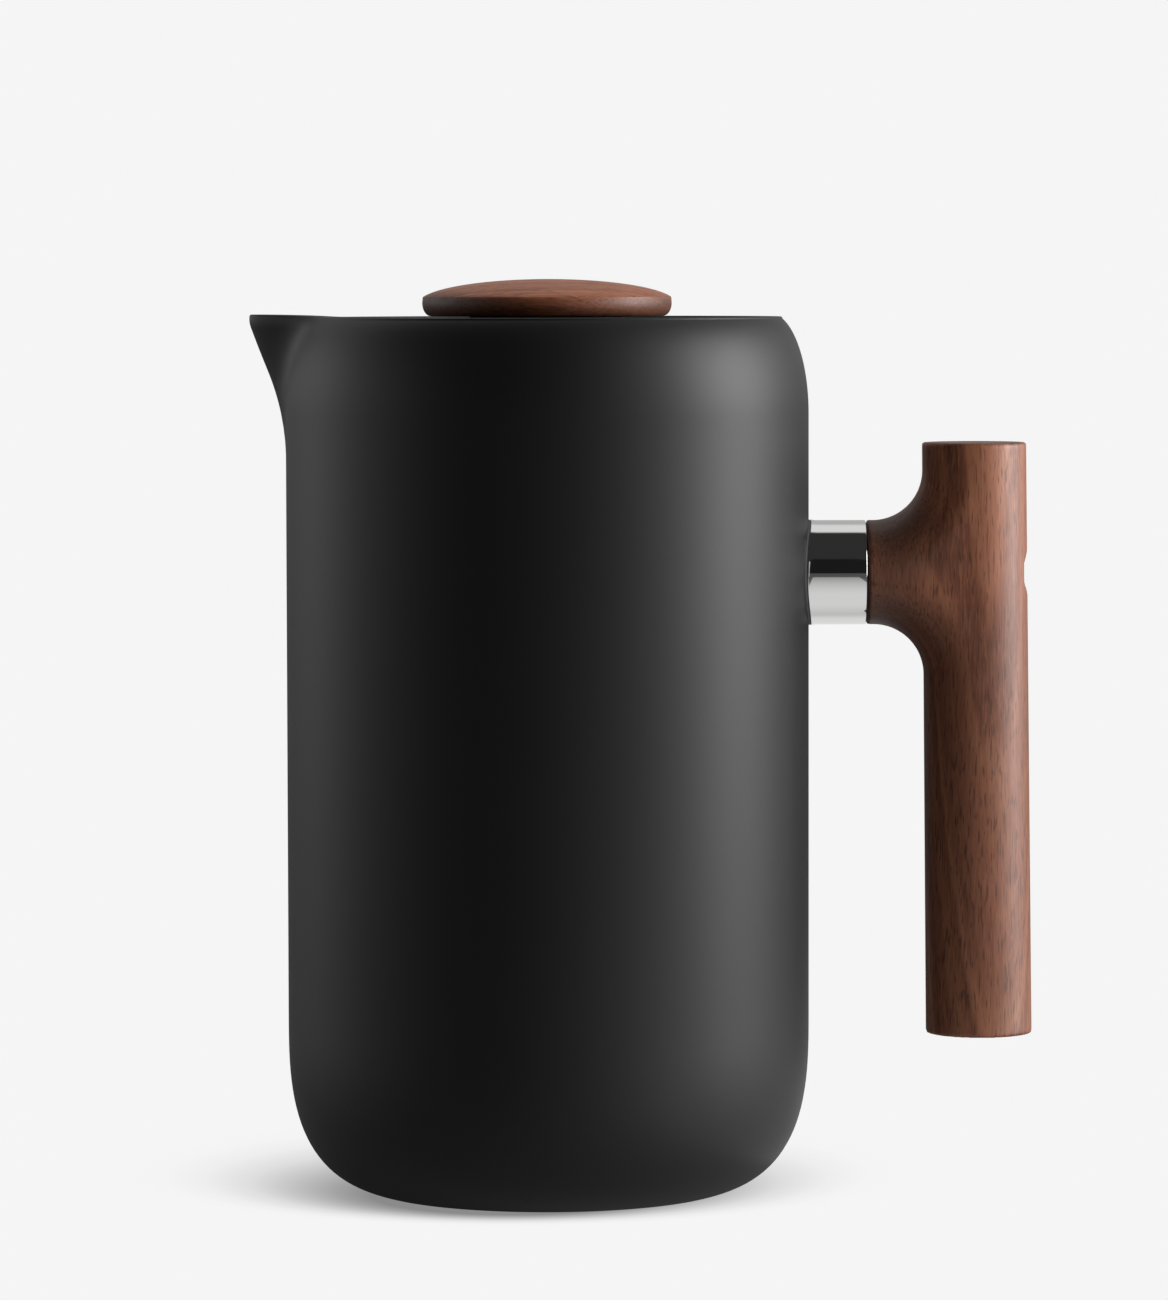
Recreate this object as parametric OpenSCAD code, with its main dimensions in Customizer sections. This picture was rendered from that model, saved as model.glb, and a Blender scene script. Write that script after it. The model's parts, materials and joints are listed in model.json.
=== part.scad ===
// French press with a double-walled steel carafe, a V spout, a walnut T handle on a
// polished ferrule, a lid that pours in any direction and a plunger with a domed knob.
// The origin is on the table at the middle of the base. +Z is up, the spout points
// along -X and the handle along +X. The plunger is shown pressed right down.

/* [Carafe] */
// Outer diameter of the straight wall
body_d = 108.2; // [107:0.2:110]
// Height of the rim above the table
rim_h = 182; // [174:1:196]
// Outer diameter of the rim, where the shoulder curve stops
rim_d = 96.2; // [95.4:0.2:97]
// Radial depth of the shoulder curve
shoulder_depth = 7.9; // [7.4:0.1:8.4]
// Height of the shoulder curve
shoulder_h = 20.6; // [18:0.2:24]
// Radial depth of the rounded bottom edge
bottom_depth = 29; // [27:1:31]
// Height of the rounded bottom edge
bottom_h = 37; // [36:1:39]
// Squareness of the rounded bottom edge
bottom_power = 2.9; // [2.7:0.1:3.3]
// Thickness of the outer wall
shell_t = 0.8; // [0.7:0.1:0.9]
// Thickness of the inner wall
vessel_t = 0.6; // [0.5:0.1:0.7]
// Height of the brewing space's floor above the table
floor_h = 9; // [8:0.5:11]
// Outer diameter of the foot ring
foot_d = 58; // [54:1:60]

/* [Spout] */
// Height of the spout
spout_h = 31; // [29:0.5:33]
// Radius of the hollow curve under the lip
spout_curve = 62; // [58:1:70]
// Half of the angle between the two sides of the spout
spout_half_angle = 41; // [38:1:43]

/* [Handle] */
// Distance of the neck's axis below the rim
neck_drop = 53; // [50:1:56]
// Diameter of the ferrule
ferrule_d = 21.6; // [21:0.2:22]
// Length of the ferrule beyond the straight wall
ferrule_l = 11.7; // [10:0.1:13]
// Distance from the carafe's axis to the grip's axis at the neck
grip_reach = 88.6; // [87:0.1:92]
// Distance of the grip's top below the rim
grip_drop = 26.2; // [24:0.2:27]
// Length of the grip
grip_l = 122.6; // [110:0.2:130]
// Diameter of the grip at the top
grip_top_d = 21.5; // [21.4:0.1:22.5]
// Diameter of the grip at the bottom
grip_bottom_d = 22.1; // [21.4:0.1:23]
// Outward lean of the grip towards the bottom
grip_lean = 0.5; // [0:0.1:0.6]

/* [Lid] */
// Distance of the lid's top below the rim
lid_drop = 0.6; // [0.4:0.1:1]
// Number of pour slots round the lid
slot_count = 24; // [18:1:28]
// Width of a pour slot
slot_w = 6.5; // [4:0.5:7.5]

/* [Plunger] */
// Diameter of the knob
knob_d = 51.6; // [46:0.2:54]
// Height of the knob's top above the rim
knob_rise = 7.8; // [7.4:0.1:9]
// Diameter of the rod
rod_d = 6; // [5:0.2:6]
// Height of the filter's bottom plate above the table
filter_h = 21; // [20.5:0.5:26]

/* [Hidden] */
$fn = 96;

// Colours
black = "#2a2a2b";
walnut = "#6b4334";
steel = "#c9cbcd";
satin = "#a8abae";
rubber = "#1b1b1c";
brass = "#b8a06a";
white = "whitesmoke";

// Clearances
run_gap = 0.05;     // round parts that turn or slide on each other
wall_gap = 0.08;    // the lid's seal and the filter's coil in the bore
thread_gap = 0.02;  // a screw in its thread
hole_gap = 0.1;     // a part in a plain hole
rest_gap = 0.05;    // faces of two bodies that rest on each other
over = 1;           // how far a cut runs past the face that it opens

// Carafe wall
body_r = body_d / 2;
rim_r = rim_d / 2;
curve_steps = 14;
shoulder_end = acos((rim_r - body_r + shoulder_depth) / shoulder_depth);
shoulder_z = rim_h - shoulder_h * sin(shoulder_end);
base_z = 1;                  // underside of the metal base
weld_lap = 0.5;              // how wide the two walls' joint is at the rim
mouth_r = rim_r - 1;         // inside of the rim
vessel_r = rim_r - weld_lap; // outside of the inner wall at the rim
ledge_w = 0.6;               // ledge that the lid rests on
ledge_z = rim_h - 16;
bore_r = mouth_r - ledge_w;  // the filter slides in this bore
floor_corner = 14;           // radius of the inner floor's corner
base_r = 31.5;               // opening in the shell that the base plate closes
base_t = 0.8;
foot_w = 7;
foot_groove = 0.3;
foot_gap = 0.05;
plug_r = 5;                  // the plug closes the hole that the wall was evacuated by
plug_t = 0.4;
plug_stem_r = 1.2;

// Spout channel inside the vessel
channel_h = 24;
channel_curve = 29.7;
channel_half_angle = 50;
flange_t = 1.2;              // flat that joins the two walls round the spout
wedge_depth = 22;            // how far the spout's V reaches back into the mouth

// Handle
neck_z = rim_h - neck_drop;
neck_r = ferrule_d / 2;
gasket_t = 0.35;
gasket_lip = 0.1;            // the gasket is this much wider than the ferrule
ferrule_end = body_r + ferrule_l;
flare = 0.4;                 // the ferrule widens by this much at the wall
edge = 0.5;                  // small chamfer
boss_r = 6;
boss_start = body_r - 3;
boss_end = ferrule_end - 2.7;
bolt_r = 2.5;
bolt_start = body_r + 2;
bolt_play = 0.25;            // the bolt's hole in the wood is this much wider all round
head_r = 3.9;
head_h = 3.9;
head_depth = 0.95;           // how deep the head lies in the recess
recess_r = 4.15;
washer_t = 0.8;
grip_r = (grip_top_d + grip_bottom_d) / 4;
head_top = grip_reach + grip_r - head_depth;
washer_x = head_top - head_h - washer_t;
neck_x = ferrule_end + 0.3;  // the wood starts behind the thin washer
elbow_skin = 0.2;            // the elbows lie this much inside neck and bar
elbow_r = neck_r - elbow_skin;
hollow_r = 10.4;             // hollow curve between neck and bar
elbow_bend = neck_r + hollow_r;
pin_r = 1;
pin_pitch_r = 8.45;
pin_l = 11;
grip_top_z = rim_h - grip_drop;
grip_bottom_z = grip_top_z - grip_l;

// Lid
lid_top = rim_h - lid_drop;
cover_t = 1.2;
cover_rim_h = 3;
cover_r = mouth_r - 0.3;
collar_bottom = ledge_z + rest_gap;
collar_t = 1.7;
skirt_h = 8;
skirt_r = bore_r - 0.6;
skirt_t = 2.4;
web_t = 2;
seal_h = 3;
seal_z = collar_bottom - 5.5;
seal_depth = 1.05;
slot_z = collar_bottom + 1.4;
slot_edge = 1;               // height of the collar left above the slots
lid_hub_r = 12;
lid_hub_h = 5.4;
bush_r = 5.5;
sleeve_r = 7;
sleeve_flange_r = 8.5;
sleeve_flange_t = 0.5;
web_top = lid_top - cover_t;
web_bottom = web_top - web_t;
collar_top = lid_top - cover_rim_h;
lid_hub_bottom = web_bottom - lid_hub_h;
nut_h = 4;
nut_corner_r = 10.4;
sleeve_end = 1.5;            // the sleeve stands out of its nut by this much
sleeve_bottom = lid_hub_bottom - nut_h - sleeve_end;
bush_flange_r = 6.8;
bush_flange_t = 1.5;
end_play = 0.1;              // the bush's and the seal's play along the axis

// Plunger
rod_r = rod_d / 2;
knob_r = knob_d / 2;
knob_gap = 0.2;              // between the rim's plane and the knob
knob_bottom = rim_h + knob_gap;
knob_crease = rim_h + 4.1;   // the dome meets the side here
knob_top = rim_h + knob_rise;
knob_foot_in = 1.7;          // the knob is this much smaller underneath
knob_crease_in = 0.1;
knob_side_z = knob_crease - 1.2;  // the side is widest here
dome_a = knob_r + 0.8;       // half width of the dome's ellipse
dome_end = asin((knob_r - knob_crease_in) / dome_a);
dome_b = (knob_top - knob_crease) / (1 - cos(dome_end));
insert_r = 5;
insert_h = 5.6;
rod_top = knob_bottom + insert_h - 0.5;
bumper_in_r = 10;
bumper_out_r = 16;
bumper_inset = 0.8;
plate_t = 0.8;
cross_r = 41;
mesh_t = 0.3;
mesh_r = bore_r - 0.3;
mesh_z = filter_h + plate_t;
top_plate_z = mesh_z + mesh_t;
plate_lift = 1.2;            // the top plate's edge lies this much higher
coil_r = 1.6;
coil_ring_r = bore_r - wall_gap - coil_r;
hole_rows = 4;               // rings of holes in the filter's plates
row_holes = 6;               // holes in the first ring, and added in each next one
coil_z = top_plate_z + plate_lift + plate_t / 2;
hub_r = 6;
hub_h = 7;
filter_nut_h = 4;
filter_nut_r = 6.4;
rod_end = 0.5;               // the rod stands out of its nut by this much
rod_bottom = filter_h - filter_nut_h - rod_end;

// Radius of the outer wall at height z, moved inwards by t
function bottom_r(z, t) =
    body_r - bottom_depth + (bottom_depth - t)
    * pow(1 - pow(max(0, (bottom_h - z) / (bottom_h - t)), bottom_power), 1 / bottom_power);
function shoulder_r(angle, t) =
    body_r - shoulder_depth + (shoulder_depth - t) * cos(angle);

// Half outline of the carafe's outside, moved inwards by t: from height low at the
// bottom to the shoulder's point at the given angle
function wall_outline(t, low, angle) = concat(
    [[0, low]],
    [for (i = [0 : curve_steps])
        let (z = low + (bottom_h - low) * pow(i / curve_steps, 2))
        [bottom_r(z, t), z]],
    [for (i = [0 : curve_steps])
        let (a = angle * i / curve_steps)
        [shoulder_r(a, t), shoulder_z + (shoulder_h - t) * sin(a)]],
    [[0, shoulder_z + (shoulder_h - t) * sin(angle)]]
);

// A cylinder along +X at the neck's height, from x0 to x1
module bar_x(r, x0, x1, r_end = undef) {
    translate([x0, 0, neck_z])
        rotate([0, 90, 0])
            cylinder(r1 = r, r2 = is_undef(r_end) ? r : r_end, h = x1 - x0);
}

// A flat ring
module ring(r_out, r_in, z, h) {
    translate([0, 0, z])
        difference() {
            cylinder(r = r_out, h = h);
            translate([0, 0, -over])
                cylinder(r = r_in, h = h + 2 * over);
        }
}

// V section of a spout: its tip lies on the curve, moved inwards by t
module v_section(half_angle, t) {
    tip = t / sin(half_angle);
    half_w = (wedge_depth - tip) * tan(half_angle);
    polygon([[tip, 0], [wedge_depth, -half_w], [wedge_depth, half_w]]);
}

// Solid wedge that leaves the wall of radius r at h below the rim and bends outwards
// on an arc until it is past the rim
module spout_wedge(r, h, curve, half_angle, t) {
    overlap = 0.1;           // the wedge starts just inside the wall
    past_rim = 6;            // degrees
    translate([-r - curve + overlap, 0, rim_h - h])
        rotate([90, 0, 0])
            rotate_extrude(angle = asin(h / curve) + past_rim)
                translate([curve, 0])
                    v_section(half_angle, t);
}

module outer_spout(t) {
    spout_wedge(body_r, spout_h, spout_curve, spout_half_angle, t);
}

module channel(t) {
    spout_wedge(vessel_r, channel_h, channel_curve, channel_half_angle, t);
}

// Everything below the rim's plane, from height low
module below_rim(low = 0) {
    translate([-2 * body_r, -body_r, low])
        cube([4 * body_r, 2 * body_r, rim_h - low]);
}

module outer_shell() {
    cavity_end = 80;         // the cavity stops just before the top of its shoulder
    color(black)
        difference() {
            union() {
                rotate_extrude()
                    polygon(wall_outline(0, base_z, shoulder_end));
                intersection() {
                    outer_spout(0);
                    below_rim();
                }
            }
            rotate_extrude()
                polygon(wall_outline(shell_t, base_z + base_t, cavity_end));
            outer_spout(shell_t);
            translate([0, 0, ledge_z])
                cylinder(r = vessel_r, h = rim_h - ledge_z + over);
            cylinder(r = base_r, h = floor_h);
            bar_x(boss_r, 0, body_r + over);
        }
}

// Solid of revolution of the inner vessel's space, with its corner and its ledge
module vessel_space(t, top) {
    rotate_extrude()
        union() {
            translate([0, floor_h + floor_corner])
                square([bore_r + t, ledge_z - floor_h - floor_corner]);
            translate([0, floor_h - t])
                square([bore_r - floor_corner, floor_corner + t]);
            intersection() {
                translate([bore_r - floor_corner, floor_h + floor_corner])
                    circle(r = floor_corner + t);
                translate([bore_r - floor_corner, floor_h - t])
                    square([floor_corner + t, floor_corner + t]);
            }
            translate([0, ledge_z - t])
                square([mouth_r + (vessel_r - mouth_r) * sign(t), top - ledge_z + t]);
        }
}

module inner_vessel() {
    color(satin)
        difference() {
            union() {
                vessel_space(vessel_t, rim_h);
                intersection() {
                    channel(0);
                    below_rim();
                }
                intersection() {
                    outer_spout(shell_t);
                    below_rim(rim_h - flange_t);
                }
            }
            vessel_space(0, rim_h + over);
            channel(vessel_t);
        }
}

module base_plate() {
    color(satin)
        difference() {
            translate([0, 0, base_z])
                cylinder(r = base_r - thread_gap, h = base_t);
            ring(foot_d / 2 + foot_gap, foot_d / 2 - foot_w - foot_gap, 0,
                 base_z + foot_groove);
            cylinder(r = plug_r + thread_gap, h = base_z + plug_t);
            cylinder(r = plug_stem_r + thread_gap, h = floor_h);
        }
}

module vacuum_plug() {
    color(steel)
        translate([0, 0, base_z]) {
            cylinder(r = plug_r, h = plug_t);
            cylinder(r = plug_stem_r, h = base_t);
        }
}

module foot_ring() {
    color(rubber)
        ring(foot_d / 2, foot_d / 2 - foot_w, 0, base_z + foot_groove);
}

module handle_boss() {
    color(satin)
        difference() {
            bar_x(boss_r, boss_start, boss_end);
            bar_x(bolt_r + thread_gap, bolt_start - 1, boss_end + over);
        }
}

// A solid that follows the wall's curve out to the given distance from it
module wall_saddle(distance) {
    translate([0, 0, neck_z - 2 * neck_r])
        cylinder(r = body_r + distance, h = 4 * neck_r);
}

module saddle_gasket() {
    color(rubber)
        difference() {
            intersection() {
                bar_x(neck_r + gasket_lip, boss_start, ferrule_end);
                wall_saddle(gasket_t);
            }
            wall_saddle(0);
            bar_x(boss_r + hole_gap, 0, ferrule_end);
        }
}

module pin_holes(r) {
    for (side = [-1, 1])
        translate([0, side * pin_pitch_r, 0])
            bar_x(r, ferrule_end - pin_l / 2, ferrule_end + pin_l / 2);
}

module ferrule() {
    flare_end = body_r + 1.2;
    color(steel)
        difference() {
            union() {
                bar_x(neck_r + flare, boss_start, body_r + gasket_t);
                bar_x(neck_r + flare, body_r + gasket_t, flare_end, neck_r);
                bar_x(neck_r, flare_end, ferrule_end - edge);
                bar_x(neck_r, ferrule_end - edge, ferrule_end, neck_r - edge);
            }
            wall_saddle(gasket_t);
            bar_x(boss_r + hole_gap, 0, ferrule_end + over);
            pin_holes(pin_r + thread_gap);
        }
}

module grip_gasket() {
    color(rubber)
        difference() {
            bar_x(neck_r - edge, ferrule_end, neck_x);
            bar_x(boss_r + hole_gap, 0, neck_x + over);
            pin_holes(pin_r + thread_gap);
        }
}

// Quarter bend from the neck up into the bar, or down when side is -1. It stops
// short of the neck's middle plane so that the two bends never touch.
module elbow(side) {
    axis_shift = elbow_bend * tan(grip_lean) * side;
    start = grip_reach - axis_shift - elbow_bend;
    intersection() {
        translate([start, 0, neck_z + side * elbow_bend])
            rotate([90, 0, 0])
                rotate([0, 0, side > 0 ? -90 : 0])
                    rotate_extrude(angle = 90)
                        translate([elbow_bend, 0])
                            circle(r = elbow_r);
        translate([start - over, -body_r, neck_z + (side > 0 ? elbow_skin : -elbow_skin - body_r)])
            cube([2 * body_r, 2 * body_r, body_r]);
    }
}

module grip() {
    r_low = grip_bottom_d / 2;
    r_high = grip_top_d / 2;
    neck_from_bottom = neck_z - grip_bottom_z;
    color(walnut)
        difference() {
            union() {
                translate([grip_reach, 0, neck_z])
                    rotate([0, -grip_lean, 0])
                        translate([0, 0, -neck_from_bottom])
                            rotate_extrude()
                                polygon([
                                    [0, 0],
                                    [r_low - edge, 0],
                                    [r_low, edge],
                                    [r_high, grip_l - edge],
                                    [r_high - edge, grip_l],
                                    [0, grip_l]
                                ]);
                bar_x(neck_r - edge, neck_x, neck_x + edge, neck_r);
                bar_x(neck_r, neck_x + edge, grip_reach);
                elbow(1);
                elbow(-1);
            }
            bar_x(bolt_r + bolt_play, 0, body_r * 2);
            bar_x(recess_r, washer_x, body_r * 2);
            pin_holes(pin_r + thread_gap);
        }
}

module handle_bolt() {
    socket_r = 2.3;
    socket_depth = 2.2;
    color(steel)
        difference() {
            union() {
                bar_x(bolt_r, bolt_start, washer_x + washer_t + edge);
                bar_x(head_r, washer_x + washer_t, head_top - edge);
                bar_x(head_r, head_top - edge, head_top, head_r - edge);
            }
            translate([head_top - socket_depth, 0, neck_z])
                rotate([0, 90, 0])
                    cylinder(r = socket_r, h = socket_depth + over, $fn = 6);
        }
}

module bolt_washer() {
    color(satin)
        difference() {
            bar_x(head_r + hole_gap, washer_x, washer_x + washer_t);
            bar_x(bolt_r + 2 * hole_gap, washer_x - over, washer_x + washer_t + over);
        }
}

module locating_pins() {
    play = 0.2;
    color(steel)
        for (side = [-1, 1])
            translate([0, side * pin_pitch_r, 0])
                bar_x(pin_r, ferrule_end - pin_l / 2 + play, ferrule_end + pin_l / 2 - play);
}

module lid_cover() {
    color(black)
        difference() {
            translate([0, 0, lid_top - cover_rim_h])
                cylinder(r = cover_r, h = cover_rim_h);
            translate([0, 0, lid_top - cover_rim_h - over])
                cylinder(r = cover_r - cover_t, h = cover_rim_h - cover_t + over);
            cylinder(r = sleeve_r + thread_gap, h = rim_h);
        }
}

module lid_body() {
    skirt_bottom = collar_bottom - skirt_h;
    color(black)
        difference() {
            union() {
                translate([0, 0, skirt_bottom])
                    cylinder(r = skirt_r, h = skirt_h + over);
                translate([0, 0, collar_bottom])
                    cylinder(r = mouth_r - run_gap, h = collar_top - collar_bottom);
                translate([0, 0, collar_top - over])
                    cylinder(r = cover_r - cover_t - thread_gap, h = web_top - collar_top + over);
            }
            difference() {
                union() {
                    translate([0, 0, skirt_bottom - over])
                        cylinder(r = skirt_r - skirt_t, h = skirt_h + 2 * over);
                    translate([0, 0, collar_bottom + over])
                        cylinder(r = mouth_r - run_gap - collar_t, h = web_bottom - collar_bottom - over);
                }
                translate([0, 0, lid_hub_bottom])
                    cylinder(r = lid_hub_r, h = lid_hub_h + over);
            }
            ring(skirt_r + over, skirt_r - seal_depth, seal_z, seal_h);
            for (i = [0 : slot_count - 1])
                rotate([0, 0, (i + 0.5) * 360 / slot_count])
                    translate([mouth_r - 2 * collar_t, -slot_w / 2, slot_z])
                        cube([4 * collar_t, slot_w, collar_top - slot_z - slot_edge]);
            cylinder(r = sleeve_r + thread_gap, h = rim_h);
        }
}

module lid_seal() {
    color(rubber)
        ring(bore_r - wall_gap, skirt_r - seal_depth + run_gap,
             seal_z + end_play, seal_h - 2 * end_play);
}

module lid_sleeve() {
    color(steel)
        difference() {
            union() {
                translate([0, 0, sleeve_bottom])
                    cylinder(r = sleeve_r, h = lid_top - sleeve_bottom + sleeve_flange_t);
                translate([0, 0, lid_top])
                    cylinder(r = sleeve_flange_r, h = sleeve_flange_t);
            }
            cylinder(r = bush_r + run_gap, h = rim_h + over);
        }
}

module lid_nut() {
    color(steel)
        difference() {
            translate([0, 0, lid_hub_bottom - nut_h])
                cylinder(r = nut_corner_r, h = nut_h, $fn = 6);
            cylinder(r = sleeve_r + thread_gap, h = rim_h);
        }
}

module rod_bush() {
    top = lid_top + sleeve_flange_t - end_play;
    flange_top = sleeve_bottom - end_play;
    color(white)
        difference() {
            union() {
                translate([0, 0, flange_top - bush_flange_t])
                    cylinder(r = bush_r, h = top - flange_top + bush_flange_t);
                translate([0, 0, flange_top - bush_flange_t])
                    cylinder(r = bush_flange_r, h = bush_flange_t);
            }
            cylinder(r = rod_r + run_gap, h = rim_h + over);
        }
}

// Half outline of the knob: flat underneath, a rounded side that is widest below the
// crease, and a shallow dome on an ellipse
function knob_outline(steps = 8) = concat(
    [[0, knob_bottom]],
    [for (i = [0 : steps])
        let (a = -90 + 90 * i / steps)
        [knob_r - knob_foot_in * (1 - cos(a)),
         knob_side_z + (knob_side_z - knob_bottom) * sin(a)]],
    [for (i = [0 : 2 * steps])
        let (a = dome_end * (1 - i / (2 * steps)))
        [dome_a * sin(a), knob_top - dome_b * (1 - cos(a))]]
);

module knob() {
    color(walnut)
        difference() {
            rotate_extrude()
                polygon(knob_outline());
            translate([0, 0, knob_bottom - over])
                cylinder(r = insert_r, h = insert_h + over);
            ring(bumper_out_r, bumper_in_r, knob_bottom - over, bumper_inset + over);
        }
}

module knob_insert() {
    color(brass)
        difference() {
            translate([0, 0, knob_bottom])
                cylinder(r = insert_r, h = insert_h);
            translate([0, 0, knob_bottom - over])
                cylinder(r = rod_r + thread_gap, h = rod_top - knob_bottom + thread_gap + over);
        }
}

module knob_bumper() {
    bottom = lid_top + rest_gap;
    color(rubber)
        ring(bumper_out_r, bumper_in_r, bottom, knob_bottom + bumper_inset - bottom);
}

module plunger_rod() {
    color(steel)
        translate([0, 0, rod_bottom])
            cylinder(r = rod_r, h = rod_top - rod_bottom);
}

module filter_hub() {
    color(steel)
        ring(hub_r, rod_r + thread_gap, top_plate_z + plate_t, hub_h);
}

// Rings of round holes through a plate at height z: the first ring is at radius
// first_r, and each next one lies further out by pitch
module plate_holes(r, first_r, pitch, z) {
    for (row = [1 : hole_rows])
        for (i = [1 : row_holes * row])
            rotate([0, 0, (i - 0.5) * 360 / (row_holes * row)])
                translate([first_r + pitch * (row - 1), 0, z - over])
                    cylinder(r = r, h = plate_t + 2 * over);
}

module filter_top_plate() {
    flat_r = 37;
    slope_w = 3;
    color(steel)
        difference() {
            translate([0, 0, top_plate_z])
                rotate_extrude()
                    polygon([
                        [rod_r + thread_gap, 0],
                        [flat_r, 0],
                        [flat_r + slope_w, plate_lift],
                        [coil_ring_r, plate_lift],
                        [coil_ring_r, plate_lift + plate_t],
                        [flat_r + slope_w - plate_t / 3, plate_lift + plate_t],
                        [flat_r - plate_t / 3, plate_t],
                        [rod_r + thread_gap, plate_t]
                    ]);
            plate_holes(2, 11, 7, top_plate_z);
        }
}

module filter_coil() {
    color(steel)
        difference() {
            translate([0, 0, coil_z])
                rotate_extrude()
                    translate([coil_ring_r, 0])
                        circle(r = coil_r);
            translate([0, 0, coil_z - plate_t / 2])
                cylinder(r = coil_ring_r, h = plate_t);
        }
}

module filter_mesh() {
    color(satin)
        ring(mesh_r, rod_r + thread_gap, mesh_z, mesh_t);
}

module filter_cross_plate() {
    color(steel)
        difference() {
            ring(cross_r, rod_r + thread_gap, filter_h, plate_t);
            plate_holes(3, 10.8, 8.4, filter_h);
        }
}

module filter_nut() {
    color(steel)
        difference() {
            translate([0, 0, filter_h - filter_nut_h])
                cylinder(r = filter_nut_r, h = filter_nut_h, $fn = 6);
            cylinder(r = rod_r + thread_gap, h = filter_h + over);
        }
}

outer_shell();
inner_vessel();
base_plate();
vacuum_plug();
foot_ring();
handle_boss();
saddle_gasket();
ferrule();
grip_gasket();
grip();
handle_bolt();
bolt_washer();
locating_pins();
lid_cover();
lid_body();
lid_seal();
lid_sleeve();
lid_nut();
rod_bush();
knob();
knob_insert();
knob_bumper();
plunger_rod();
filter_hub();
filter_top_plate();
filter_coil();
filter_mesh();
filter_cross_plate();
filter_nut();
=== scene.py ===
"""French press on a plain pale floor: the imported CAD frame, its visible skins and materials."""

import json
import math

import bmesh
import bpy
import numpy as np
from mathutils import Matrix, Vector


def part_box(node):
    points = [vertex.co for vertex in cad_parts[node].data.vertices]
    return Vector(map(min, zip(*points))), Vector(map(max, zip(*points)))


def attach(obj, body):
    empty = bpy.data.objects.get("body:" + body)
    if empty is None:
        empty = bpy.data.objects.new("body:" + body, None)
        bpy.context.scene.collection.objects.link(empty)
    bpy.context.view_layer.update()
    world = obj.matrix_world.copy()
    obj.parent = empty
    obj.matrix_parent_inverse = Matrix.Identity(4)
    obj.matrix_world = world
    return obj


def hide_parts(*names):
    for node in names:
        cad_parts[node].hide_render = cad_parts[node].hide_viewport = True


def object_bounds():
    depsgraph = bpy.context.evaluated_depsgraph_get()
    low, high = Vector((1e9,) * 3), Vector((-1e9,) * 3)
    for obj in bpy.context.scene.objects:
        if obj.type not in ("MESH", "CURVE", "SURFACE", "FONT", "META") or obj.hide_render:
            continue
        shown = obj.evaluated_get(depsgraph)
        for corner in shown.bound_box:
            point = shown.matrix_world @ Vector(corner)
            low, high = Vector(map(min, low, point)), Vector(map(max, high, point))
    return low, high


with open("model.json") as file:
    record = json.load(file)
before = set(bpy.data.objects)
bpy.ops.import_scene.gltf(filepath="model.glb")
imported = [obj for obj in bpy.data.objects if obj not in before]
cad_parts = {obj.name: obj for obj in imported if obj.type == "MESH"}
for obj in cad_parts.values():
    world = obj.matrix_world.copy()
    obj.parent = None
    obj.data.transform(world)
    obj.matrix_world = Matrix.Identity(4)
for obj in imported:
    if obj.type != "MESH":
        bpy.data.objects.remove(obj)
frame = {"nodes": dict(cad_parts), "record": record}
cad_low, cad_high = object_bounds()

MM = 0.001

# ---------------------------------------------------------------- sizes from the frame

_, shell_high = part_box("outer_shell")
base_low, base_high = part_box("base_plate")
cover_low, cover_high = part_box("lid_cover")
knob_low, knob_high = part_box("knob")
_, bumper_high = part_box("knob_bumper")
ferrule_low, ferrule_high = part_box("ferrule")
wood_gasket_low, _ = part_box("grip_gasket")
grip_low, grip_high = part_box("grip")
_, bolt_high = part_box("handle_bolt")
coil_low, coil_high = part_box("filter_coil")

# Outer wall: straight, with an elliptic shoulder above and a deeper, fuller curve below
WALL_R = shell_high.y
RIM_Z = shell_high.z
RIM_R = 48.1 * MM
SHOULDER_DEPTH = 7.9 * MM
SHOULDER_H = 20.6 * MM
SHOULDER_END = math.acos((RIM_R - WALL_R + SHOULDER_DEPTH) / SHOULDER_DEPTH)
SHOULDER_Z = RIM_Z - SHOULDER_H * math.sin(SHOULDER_END)
BOTTOM_DEPTH = 29 * MM
BOTTOM_H = 37 * MM
BOTTOM_POWER = 2.9
BASE_Z = base_low.z
BASE_R = base_high.x
SHELL_T = 0.8 * MM

# Inner wall: a bore with a rounded floor, and a wider mouth above the lid's ledge
BORE_R = 46.5 * MM
MOUTH_R = 47.1 * MM
LEDGE_Z = RIM_Z - 16 * MM
VESSEL_FLOOR_Z = 9 * MM
VESSEL_CORNER = 14 * MM
VESSEL_T = 0.6 * MM

# The rim: its rounding, how far the coat wraps over it, and the weld of the two walls
RIM_EDGE = 0.45 * MM
RIM_WRAP = 1.2 * MM
COAT_T = 0.03 * MM
WELD_OUT = 0.5 * MM
WELD_H = 3 * MM

# The spout's ridge: straight at the lip, then a hollow curve down to the wall. The lip is
# blunted at its tip and climbs a little towards it
SPOUT_H = 30 * MM
LIP_SLOPE = 0.40
RIDGE_CURVE = 50 * MM
LIP_BLUNT = 0.75 * MM
LIP_BLUNT_H = 2.4 * MM
LIP_RISE = 0.6 * MM
LIP_RISE_H = 9 * MM
LIP_RISE_ANGLE = math.radians(27)

# Across the ridge: a V of this half angle, its tip rounded, its crease to the wall blended
SPOUT_ANGLE = math.radians(36)
SPOUT_REACH = math.radians(70)
RIDGE_ROUND = 3.2 * MM
CREASE = 7.0 * MM

# The channel inside the spout
CHANNEL_H = 24 * MM
CHANNEL_SLOPE = 0.95
LIP_W = 1.9 * MM

# Handle: a neck along +X into an upright bar that leans and tapers slightly
NECK_Z = (ferrule_low.z + ferrule_high.z) / 2
NECK_R = 10.8 * MM
NECK_X = grip_low.x
GRIP_LEAN = math.tan(math.radians(0.5))
GRIP_X = 88.6 * MM
GRIP_TOP_R = 10.75 * MM
GRIP_BOTTOM_R = 11.05 * MM
GRIP_HOLLOW = 10.4 * MM
RECESS_R = 4.15 * MM
RECESS_FLOOR = bolt_high.x - 4.2 * MM

KNOB_CREASE_Z = knob_low.z + 3.9 * MM


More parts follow.
